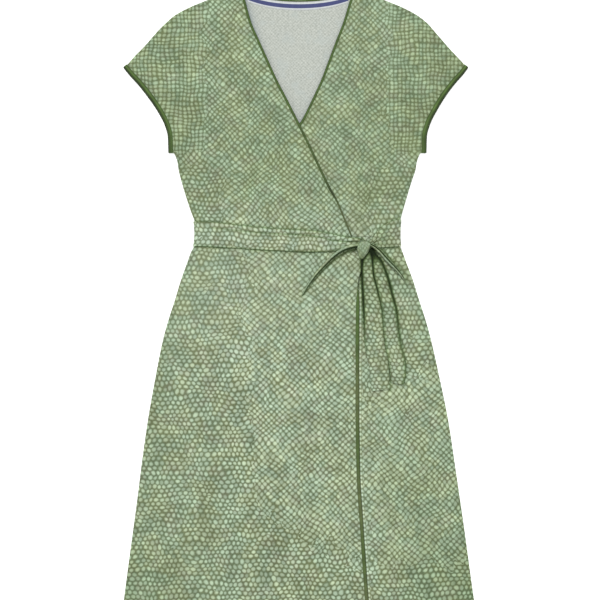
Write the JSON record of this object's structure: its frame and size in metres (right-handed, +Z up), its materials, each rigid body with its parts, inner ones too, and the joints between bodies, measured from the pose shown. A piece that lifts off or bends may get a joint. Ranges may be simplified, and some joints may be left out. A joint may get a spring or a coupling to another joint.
{
  "type": "wrap dress",
  "caption": "Knee-length wrap dress laid flat, with cap sleeves, a crossed V neck with bound edges, an A-line skirt and a belt tied in a bow at the side of the waist.",
  "frame": {"origin": "middle of the laid garment's outline, on the surface it lies on", "axes": "+X to the right of the laid garment, +Y towards the neck, +Z up, away from the surface"},
  "size_m": [0.5961, 1.0535, 0.0204],
  "materials": {
    "printed_cloth": "soft matt jersey printed all over with small mint and pale yellow dots on olive green, pale grey on the wrong side",
    "belt_cloth": "the same printed jersey, doubled and turned",
    "green_binding": "plain dark green binding with a faint rib",
    "neck_tape": "woven tape, muted blue with white edges"
  },
  "bodies": {
    "root": {"back_bodice": "printed_cloth", "back_skirt": "printed_cloth", "front_under_bodice": "printed_cloth", "front_under_skirt": "printed_cloth", "front_over_bodice": "printed_cloth", "front_over_skirt": "printed_cloth", "armhole_binding_left": "green_binding", "armhole_binding_right": "green_binding", "neck_binding_back": "green_binding", "neck_binding_over": "green_binding", "neck_binding_under": "green_binding", "skirt_edge_binding": "green_binding", "neck_tape": "neck_tape", "belt_back": "belt_cloth", "belt_front_left": "belt_cloth", "belt_front_right": "belt_cloth", "belt_knot": "belt_cloth", "belt_loop_left": "belt_cloth", "belt_loop_right": "belt_cloth", "belt_tail_left": "belt_cloth", "belt_tail_right": "belt_cloth"}
  },
  "joints": []
}
